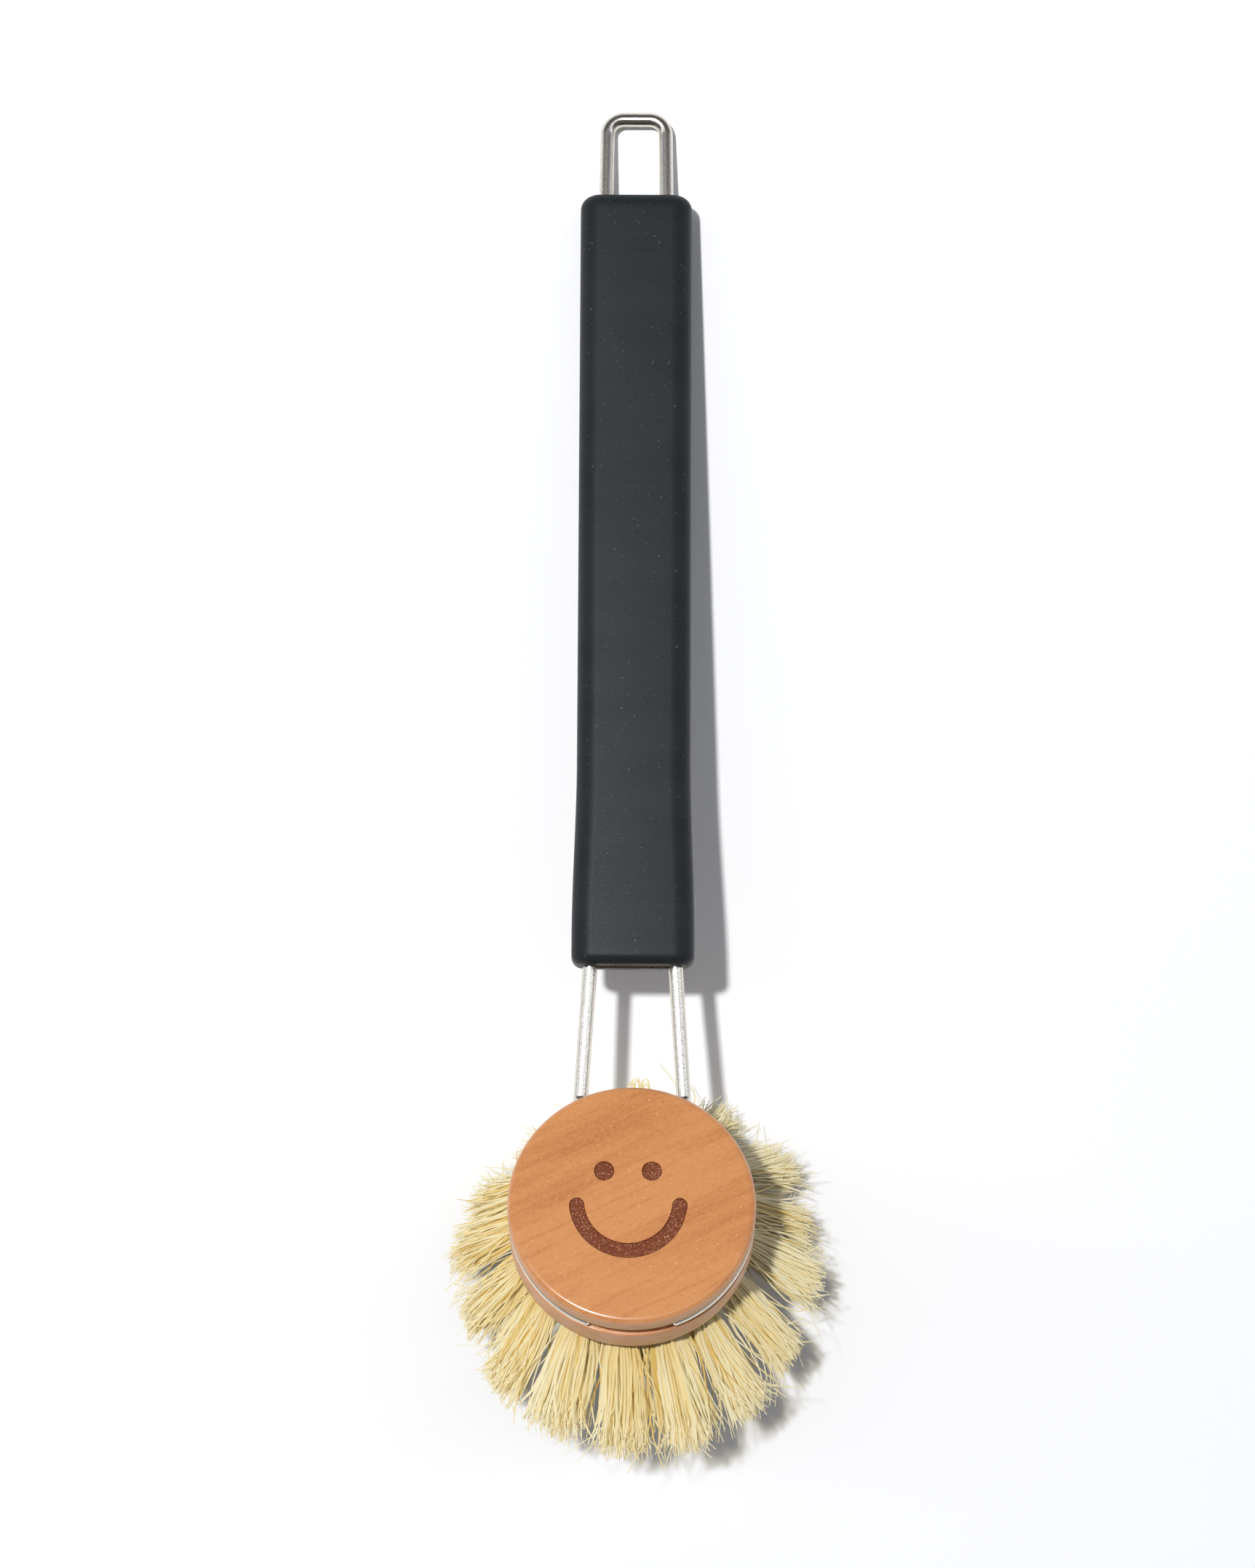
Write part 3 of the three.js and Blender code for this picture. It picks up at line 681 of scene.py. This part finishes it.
colour = tint(tree, tool_marks, 0.25, colour, BEECH_LIGHT)
tree.links.new(colour, shader.inputs["Base Color"])
tree.links.new(spread_value(tree, tool_marks, *RIM_ROUGHNESS), shader.inputs["Roughness"])
bump = node(tree, "Bump", {"Height": tool_marks, "Strength": 0.2, "Distance": 0.00006})
tree.links.new(bump.outputs[0], shader.inputs["Normal"])

burnt_wood, tree, shader = finish_material("burnt_wood", Specular_IOR_Level=0.25)
along_grain = turned_coordinates(tree, GRAIN_ANGLE)
crust = place_group(tree, streaks, Vector=along_grain, Along=1800.0, Across=2600.0)
glints = place_group(tree, specks, Vector=along_grain, Cells=4200.0, Share=0.4, Size=0.6)
colour = mix_colours(tree, crust, CHAR_DARK, CHAR)
tree.links.new(mix_colours(tree, glints, colour, CHAR_GLINT), shader.inputs["Base Color"])
tree.links.new(spread_value(tree, crust, *CHAR_ROUGHNESS), shader.inputs["Roughness"])
bump = node(tree, "Bump", {"Height": crust, "Strength": 0.6, "Distance": 0.0001})
tree.links.new(bump.outputs[0], shader.inputs["Normal"])

bored_wood, tree, shader = finish_material("bored_wood", Roughness=0.85)
along_grain = turned_coordinates(tree, GRAIN_ANGLE)
raw = place_group(tree, streaks, Vector=along_grain, Along=200.0, Across=1500.0)
tree.links.new(mix_colours(tree, raw, BEECH_DARK, RIM_BEECH), shader.inputs["Base Color"])

for finish in (lacquered_beech, turned_beech, burnt_wood, bored_wood):
    head.data.materials.append(finish)
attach(head, "head")
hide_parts("head_block")


# Anchors
# A small flat of bare drawn wire is driven across each folded tuft at the blind end of its bore.
# All of them sit inside the wood, where they hold the tufts.
BARE_WIRE = (0.42, 0.41, 0.39, 1)
BARE_WIRE_DULL = (0.24, 0.23, 0.21, 1)
BARE_WIRE_ROUGHNESS = (0.5, 0.35)
bare_wire, tree, shader = finish_material("bare_wire", Metallic=1.0)
rolled = place_group(
    tree, streaks, Vector=node(tree, "TexCoord").outputs["Object"], Along=900.0, Across=6000.0
)
tree.links.new(mix_colours(tree, rolled, BARE_WIRE_DULL, BARE_WIRE), shader.inputs["Base Color"])
tree.links.new(spread_value(tree, rolled, *BARE_WIRE_ROUGHNESS), shader.inputs["Roughness"])
for name, anchor in frame["nodes"].items():
    if name.startswith("anchor_"):
        anchor.data.materials.clear()
        anchor.data.materials.append(bare_wire)


# Tufts
# Bundles of pale plant fibre, folded in half and set in the bores: a splayed outer row, two
# straighter rows inside it and one tuft in the middle. The ends are cut by hand, so they are
# uneven, some fibres stray, and a few curl up behind the head.
FIBRE_LENGTH = 0.0337
FIBRE_IN_BORE = 0.002
FIBRE_HALF_WIDTH, FIBRE_RIDGE = 0.00017, 0.00007
FIBRE_STATIONS = 7
FIBRE_ROLL = 0.2
FIBRE_LEAST_WIDTH, FIBRE_WIDTH_SPREAD, FIBRE_NARROWING = 0.75, 0.6, 0.55
BLADES_A_LOCK = 4
BLADE_WIDTH, BLADE_WIDTH_FROM, BLADE_NARROWING = 3.4, 2, 0.8
BLADE_LENGTH = 0.9
BLADE_SUNK = 0.0001
BLADE_STREAKS = 0.1
TUFT_RADIUS = 0.0024
LOCK_RADIUS, LOCK_DEPTH = 0.00045, 0.00005
LEAN_AT_MIDDLE = 0.38
FLARE_AT_MIDDLE = 1.05
REAR_TUCK = 0.0015
TUFT_UNEVENNESS = (0.0008, 0.0015)
WORN_SWEEP = (0.0009, -0.0014)
# On one side the tufts reach further out, and their fibres there are made paler: painted light
# where the head shadows those tufts.
WORN_AND_PAINTED_LIGHT_SIDE, WORN_REACH, SHADED_SIDE_PAINTED_LIGHT = math.radians(42), 0.002, 0.25
TUFT_SOFTNESS = 0.8
STRAY_SHARE, STRAY_LENGTH = 0.13, 0.0035
STRAY_FRAY, FIBRE_FRAY = 3.4, 0.75
STRAY_LIFT, FIBRE_LIFT = 1.2, 0.06
LOCK_LIFT = 0.5
LENGTH_SCATTER = (0.002, 0.003)
LEAN_SCATTER = 0.02
SWAY, WAVE, SPLAY = (0.0005, 0.0003), (0.0002, 0.0002), (0.0009, 0.0014)
TONE, TONE_SCATTER, TONE_MOST = 0.24, (0.17, 0.1), 0.78
DARK_SHARE, DARK_TONE, DARK_SPREAD = 0.06, 0.7, 0.3
TUFT_SHAPES = {
    "outer": {
        "face": 15, "locks": 24, "fibres": 312,
        "tip_radius": 0.0353, "widen": 1.3, "turn": 0.83, "wander": 0.001,
    },
    "middle": {
        "face": 6, "locks": 14, "fibres": 168,
        "tip_radius": 0.017, "widen": 1.5, "turn": 1.2, "wander": 0.0007,
    },
    "inner": {
        "face": 0, "locks": 10, "fibres": 110,
        "tip_radius": 0.008, "widen": 1.3, "turn": 1.1, "wander": 0.0006,
    },
    "centre": {
        "face": 0, "locks": 10, "fibres": 110,
        "tip_radius": 0.0, "widen": 1.3, "turn": 1.0, "wander": 0.0006,
    },
}
CURLS, CURL_ANGLE, CURL_TURN = 14, math.radians(84.5), math.radians(290)
CURL_ROOT_SPREAD, CURL_REACH, CURL_REACH_BY_LEVEL = 0.0016, 0.0311, 0.45
CURL_ACROSS, CURL_LEVEL = (-0.0012, 0.0038), (-0.018, -0.0122)
CURL_WIDTH, CURL_RISE = (0.0004, 0.0009), (0.0008, 0.0024)
CURL_STEM_STATIONS, CURL_TURN_STATIONS = 8, 15
CURL_FIBRE_WIDTH, CURL_TONES = 0.8, (0, 0.4)
TABLE_CLEARANCE, UNDERSIDE_CLEARANCE = 0.0003, 0.00005
chance = np.random.default_rng(19)


def unit(vectors):
    return vectors / np.linalg.norm(vectors, axis=-1, keepdims=True)


def bent(start, middle, end, t):
    """Points of a smooth bend, at shares t of its way."""
    return start * (1 - t) ** 2 + middle * 2 * t * (1 - t) + end * t**2


def tuft_fibres(row, shape, angle):
    """Paths, widths and tones of one tuft's fibres in the head's frame.

    Fibres that grew together stay in locks, and the first ones of each lock are broad blades under
    the rest. Some of the locks lie side by side on the outer face of the tuft, and the others are
    anywhere inside it.
    """
    locks, count = shape["locks"], shape["fibres"]
    lock = np.arange(count) % locks
    blade = np.arange(count) < locks * BLADES_A_LOCK

    def scatter(by_lock, by_fibre):
        return chance.normal(0, by_lock, locks)[lock] + chance.normal(0, 1, count) * by_fibre

    face = np.arange(locks) < shape["face"]
    reach = (TUFT_RADIUS - LOCK_DEPTH) * np.where(face, 1, np.sqrt(chance.random(locks)))
    beside = np.arcsin(np.clip((2 * np.arange(locks) + 1) / max(shape["face"], 1) - 1, -1, 1))
    around = np.where(face, beside, chance.random(locks) * 2 * np.pi)
    out = (reach * np.cos(around))[lock] + scatter(0, LOCK_DEPTH)
    side = (reach * np.sin(around))[lock] + scatter(0, LOCK_RADIUS)
    shrink = np.minimum(TUFT_RADIUS / np.maximum(np.hypot(out, side), 1e-9), 1)
    out, side = out * shrink - BLADE_SUNK * blade, side * shrink

    stray = (chance.random(count) < STRAY_SHARE) & ~blade
    fray = np.where(stray, STRAY_FRAY, FIBRE_FRAY)
    lift = np.where(stray, STRAY_LIFT, FIBRE_LIFT)
    wander = shape["wander"]
    worn = 0
    if shape["tip_radius"] > HEAD_RADIUS:
        worn = WORN_REACH * max(math.cos(angle - WORN_AND_PAINTED_LIGHT_SIDE), 0) ** 4
        worn -= REAR_TUCK * max(math.sin(angle), 0) ** 6
    tuft_out, tuft_side = chance.normal(0, TUFT_UNEVENNESS)
    base_radius = row["radius"] + out
    tip_radius = shape["tip_radius"] + worn + tuft_out + shape["widen"] * out
    tip_radius += scatter(wander * LOCK_LIFT, wander * lift)
    growth = shape["tip_radius"] / row["radius"] if row["radius"] else shape["widen"]
    tip_side = side * growth * shape["turn"] + tuft_side + scatter(wander, wander * fray)
    by_lock, by_fibre = LENGTH_SCATTER
    length = FIBRE_LENGTH + scatter(by_lock, 0) - np.abs(chance.normal(0, by_fibre, count))
    length += stray * chance.random(count) * STRAY_LENGTH
    length = np.where(blade, FIBRE_LENGTH * BLADE_LENGTH, length)
    blade_radius = base_radius + (tip_radius - base_radius) * BLADE_LENGTH
    tip_radius = np.where(blade, blade_radius, tip_radius)
    tip_side = np.where(blade, side + (tip_side - side) * BLADE_LENGTH, tip_side)
    drop = np.sqrt(length**2 - (tip_radius - base_radius) ** 2)
    lean = LEAN_AT_MIDDLE + scatter(LEAN_SCATTER, LEAN_SCATTER * lift)
    sway, wave, splay = (
        scatter(by_lock, by_fibre * fray)[:, None] for by_lock, by_fibre in (SWAY, WAVE, SPLAY)
    )

    t = np.linspace(0, 1, FIBRE_STATIONS)
    base_radius, tip_radius, side, tip_side, drop, lean = (
        values[:, None] for values in (base_radius, tip_radius, side, tip_side, drop, lean)
    )
    r = bent(base_radius, base_radius + (tip_radius - base_radius) * lean, tip_radius, t)
    s = bent(side, side + (tip_side - side) * FLARE_AT_MIDDLE, tip_side, t)
    s += sway * np.sin(np.pi * t) + wave * np.sin(2 * np.pi * t) + splay * t**5
    z = bent(BASE_BOTTOM + FIBRE_IN_BORE, BASE_BOTTOM - drop / 2, BASE_BOTTOM - drop, t)
    x = r * math.cos(angle) - s * math.sin(angle) + WORN_SWEEP[0] * t**2
    y = r * math.sin(angle) + s * math.cos(angle) + WORN_SWEEP[1] * t**2
    # Painted light: the fibres are made paler on the side where the head's shadow falls on the
    # tufts.
    painted_light = SHADED_SIDE_PAINTED_LIGHT * max(math.cos(angle - WORN_AND_PAINTED_LIGHT_SIDE), 0) ** 2
    tone = np.clip(TONE - painted_light + scatter(*TONE_SCATTER), 0, TONE_MOST)
    dark = chance.random(count) < DARK_SHARE
    tone = np.where(dark, DARK_TONE + DARK_SPREAD * chance.random(count), tone)
    widths = FIBRE_LEAST_WIDTH + FIBRE_WIDTH_SPREAD * chance.random(count)
    widths = np.where(blade, BLADE_WIDTH, widths)
    return np.stack([x, y, z], axis=2), widths, tone


def curled_fibres():
    """Paths, widths and tones of the long fibres of a rear tuft that curl up behind the head."""
    one = (CURLS, 1)
    radius = TUFT_ROWS["outer"]["radius"]
    root_x = radius * math.cos(CURL_ANGLE) + chance.uniform(-1, 1, one) * CURL_ROOT_SPREAD
    root_y = radius * math.sin(CURL_ANGLE) + chance.uniform(0, 1, one) * CURL_ROOT_SPREAD
    across = chance.uniform(*CURL_ACROSS, one)
    loop = chance.uniform(*CURL_WIDTH, one) * chance.choice([-1, 1], one)
    rise = chance.uniform(*CURL_RISE, one)
    level = chance.uniform(*CURL_LEVEL, one)
    reach = CURL_REACH - CURL_REACH_BY_LEVEL * (level - CURL_LEVEL[1])
    t = np.linspace(0, 1, CURL_STEM_STATIONS + 1)[:-1]
    turn = np.linspace(0, CURL_TURN, CURL_TURN_STATIONS)
    x = np.hstack([bent(root_x, root_x, across, t), across + loop * (1 - np.cos(turn))])
    y = np.hstack([bent(root_y, root_y, reach, t), reach + rise * np.sin(turn)])
    z = np.hstack([bent(BASE_BOTTOM + FIBRE_IN_BORE, level, level, t), level + loop * np.sin(turn)])
    widths = np.full(CURLS, CURL_FIBRE_WIDTH)
    return np.stack([x, y, z], axis=2), widths, chance.uniform(*CURL_TONES, CURLS)


def set_down(paths):
    """Fibre paths on the brush. Those that would pass through the table bend along it."""
    placed = paths @ np.array(head_place.to_3x3()).T + np.array(head_place.translation)
    placed[..., 2] = np.maximum(placed[..., 2], TABLE_CLEARANCE)
    return placed


def fibre_mesh(name, paths, widths, tone):
    """One mesh of flat ridged fibres, with a tone for each fibre and a place along it."""
    count, stations, _ = paths.shape
    along = unit(np.gradient(paths, axis=1))
    axis = np.array(ring_axis)
    outward = paths - np.array(ring_centre)
    outward = unit(outward - (outward @ axis)[..., None] * axis)
    wide = unit(np.cross(along, outward + axis + chance.normal(0, FIBRE_ROLL, (count, 1, 3))))
    ridge = np.cross(wide, along)
    toward_tip = np.linspace(0, 1, stations)
    blade = widths > BLADE_WIDTH_FROM
    narrowing = np.where(blade, BLADE_NARROWING, FIBRE_NARROWING)
    size = (widths[:, None] * (1 - narrowing[:, None] * toward_tip**3))[..., None]
    corners = np.stack(
        [
            paths + wide * FIBRE_HALF_WIDTH * size,
            paths - wide * FIBRE_HALF_WIDTH * size,
            paths + ridge * FIBRE_RIDGE * np.sqrt(size),
        ],
        axis=2,
    )
    lowest = UNDERSIDE_CLEARANCE + FIBRE_RIDGE * np.array([0, 0, 1])
    corners[..., 2] = np.maximum(corners[..., 2], lowest)

    # Each stretch between two stations has a flat underside and two upper sides.
    # Triangles close the ends.
    corner = np.array([(0, 1, 1, 0), (1, 2, 2, 1), (2, 0, 0, 2)])
    station = np.arange(stations - 1)[:, None, None] + np.array([0, 0, 1, 1])
    corner, station = np.broadcast_arrays(corner, station)
    end_corner = np.array([(2, 1, 0), (0, 1, 2)])
    end_station = np.array([(0, 0, 0), (stations - 1,) * 3])
    roots = (np.arange(count) * stations * 3)[:, None, None]
    sides = roots + (station * 3 + corner).reshape(-1, 4)
    ends = roots + end_station * 3 + end_corner
    faces = sides.reshape(-1, 4).tolist() + ends.reshape(-1, 3).tolist()
    made = new_piece(name, corners.reshape(-1, 3), faces, Matrix.Identity(4))

    # The upper sides are shaded as part of the whole soft tuft, which scatters light more than one
    # fibre does.
    soft = unit(ridge + TUFT_SOFTNESS * axis)
    upper = (corner.max(axis=-1) == 2)[None, :, :, None, None]
    side_normals = np.where(upper, soft[:, station], -ridge[:, station])
    end_normals = np.stack([-along[:, 0], along[:, -1]], axis=1)[:, :, None].repeat(3, axis=2)
    normals = np.concatenate([side_normals.reshape(-1, 3), end_normals.reshape(-1, 3)])
    made.data.normals_split_custom_set(normals.tolist())
    streaked = tone[:, None, None] + BLADE_STREAKS * blade[:, None, None] * np.array([-1, 1, 0])
    for attribute, values in (
        ("tone", np.repeat(streaked, stations, axis=1).ravel()),
        ("toward_tip", np.tile(np.repeat(toward_tip, 3), count)),
    ):
        data = made.data.attributes.new(attribute, "FLOAT", "POINT").data
        data.foreach_set("value", values.astype(np.float32))
    return made


def colour_ramp(tree, value, stops):
    """The socket of a ramp through colours at given values."""
    ramp = node(tree, "ValToRGB", {0: value})
    while len(ramp.color_ramp.elements) < len(stops):
        ramp.color_ramp.elements.new(1.0)
    for element, (position, colour) in zip(ramp.color_ramp.elements, stops):
        element.position, element.color = position, colour
    return ramp.outputs[0]


FIBRE_TONES = (
    (0.0, (0.84, 0.77, 0.52, 1)),
    (0.35, (0.81, 0.69, 0.36, 1)),
    (0.7, (0.74, 0.53, 0.17, 1)),
    (1.0, (0.6, 0.39, 0.08, 1)),
)
FIBRE_TIP = (0.85, 0.79, 0.56, 1)
FIBRE_GLOW = (0.77, 0.75, 0.69, 1)
plant_fibre, tree, shader = finish_material("plant_fibre", Roughness=0.5, Specular_IOR_Level=0.3)
tone = node(tree, "Attribute", attribute_name="tone").outputs["Fac"]
toward_tip = node(tree, "Attribute", attribute_name="toward_tip").outputs["Fac"]
dyed = colour_ramp(tree, tone, FIBRE_TONES)
stain_place = node(tree, "CombineXYZ", {0: toward_tip, 1: tone}).outputs[0]
stain = place_group(tree, streaks, Vector=stain_place, Along=4.0, Across=90.0, Low=0.48, High=0.7)
golden = FIBRE_TONES[2][1]
colour = tint(tree, stain, 0.35, dyed, golden)
# The fibres grow paler towards their tips.
paler_to_tip = node(tree, "MapRange", {"Value": toward_tip, "From Min": 0.7, "To Max": 0.45}).outputs[0]
colour = mix_colours(tree, paler_to_tip, colour, FIBRE_TIP)
# Painted shade: the fibres turn darker and golden towards their roots, deep in the tufts where the
# shade falls.
root_painted_shade = node(
    tree,
    "MapRange",
    {"Value": toward_tip, "From Min": 0.5, "From Max": 0.15, "To Max": 0.5},
).outputs[0]
colour = mix_colours(tree, root_painted_shade, colour, golden)
tree.links.new(colour, shader.inputs["Base Color"])

# The fibres are thin enough to let part of the lamp's light through, which turns golden on its way.
through = node(tree, "BsdfTransparent", {"Color": FIBRE_GLOW})
from_lamp = node(tree, "LightPath").outputs["Is Shadow Ray"]
glowing = node(tree, "MixShader", {0: from_lamp, 1: shader.outputs[0], 2: through.outputs[0]})
tree.links.new(glowing.outputs[0], tree.nodes["Material Output"].inputs["Surface"])


def set_fibres(name, paths, widths, tones, node_name):
    """Fibres as a piece of the head, in place of a node of tufts."""
    fibres = fibre_mesh(name, set_down(paths), widths, tones)
    fibres.data.materials.append(plant_fibre)
    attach(fibres, "head")
    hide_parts(node_name)


for name, row in TUFT_ROWS.items():
    tufts = [tuft_fibres(row, TUFT_SHAPES[name], angle) for angle in tuft_angles(row)]
    paths, widths, tones = (np.concatenate(part) for part in zip(*tufts))
    tuft_node = f"{name}_tufts" if row["count"] > 1 else f"{name}_tuft"
    set_fibres(f"{name}_fibres", paths, widths, tones, tuft_node)
set_fibres("curled_fibres", *curled_fibres(), "outer_tufts")


# Table, light and camera
# The brush lies on a plain white table under one soft lamp high on the left and a long pale panel
# across the ceiling. The camera looks straight down on it.
TABLE_HALF_SIZE = 12.0
table_corners = [
    (x * TABLE_HALF_SIZE, y * TABLE_HALF_SIZE, 0) for x, y in ((-1, -1), (1, -1), (1, 1), (-1, 1))
]
table = new_piece("table", table_corners, [(0, 1, 2, 3)], Matrix.Identity(4))
white_table, tree, shader = finish_material(
    "white_table", Base_Color=(0.98, 0.98, 0.98, 1), Roughness=1.0, Specular_IOR_Level=0.0
)
table.data.materials.append(white_table)

LAMP_WATTS, LAMP_RADIUS = 98.0, 0.039
LAMP_PLACE = (-0.353, 0.308, 1.7)
lamp = bpy.data.lights.new("lamp", "POINT")
lamp.energy, lamp.shadow_soft_size = LAMP_WATTS, LAMP_RADIUS
lamp_stand = bpy.data.objects.new("lamp", lamp)
lamp_stand.location = LAMP_PLACE
bpy.context.collection.objects.link(lamp_stand)

ROOM_BANDS = (
    (0.0, (0.3, 0.305, 0.32, 1)),
    (0.18, (0.22, 0.224, 0.235, 1)),
    (0.42, (0.09, 0.092, 0.097, 1)),
)
PANEL = (1.45, 1.5, 1.66, 1)
PANEL_NEAR, PANEL_FAR, PANEL_SIDE = (0.08, 0.15), (0.37, 0.31), (0.98, 0.93)


def within(tree, value, edge):
    """A mask that rises from 0 to 1 over the soft edge of the ceiling panel."""
    edges = {"Value": value, "From Min": edge[0], "From Max": edge[1]}
    return node(tree, "MapRange", edges).outputs[0]


room = bpy.data.worlds.new("room")
room.use_nodes = True
tree = room.node_tree
direction = node(tree, "SeparateXYZ", {0: node(tree, "TexCoord").outputs["Generated"]}).outputs
sideways = node(tree, "Math", {0: direction["X"]}, operation="ABSOLUTE").outputs[0]
depth = node(
    tree,
    "Math",
    {0: within(tree, direction["Y"], PANEL_NEAR), 1: within(tree, direction["Y"], PANEL_FAR)},
    operation="MULTIPLY",
)
panel = node(
    tree, "Math", {0: depth.outputs[0], 1: within(tree, sideways, PANEL_SIDE)}, operation="MULTIPLY"
)
walls = colour_ramp(tree, direction["Z"], ROOM_BANDS)
glow = mix_colours(tree, panel.outputs[0], walls, PANEL)
tree.links.new(glow, tree.nodes["Background"].inputs["Color"])
bpy.context.scene.world = room

CAMERA_PLACE = (-0.00128, -0.00303, 0.85)
CAMERA_ROLL = math.radians(0.286)
LENS, SENSOR, CLIP = 90.95, 36.0, (0.05, 50)
lens = bpy.data.cameras.new("camera")
lens.lens, lens.sensor_width = LENS, SENSOR
lens.clip_start, lens.clip_end = CLIP
camera = bpy.data.objects.new("camera", lens)
camera.location, camera.rotation_euler = CAMERA_PLACE, (0, 0, CAMERA_ROLL)
bpy.context.collection.objects.link(camera)
bpy.context.scene.camera = camera
bpy.context.scene.view_settings.view_transform = "Standard"
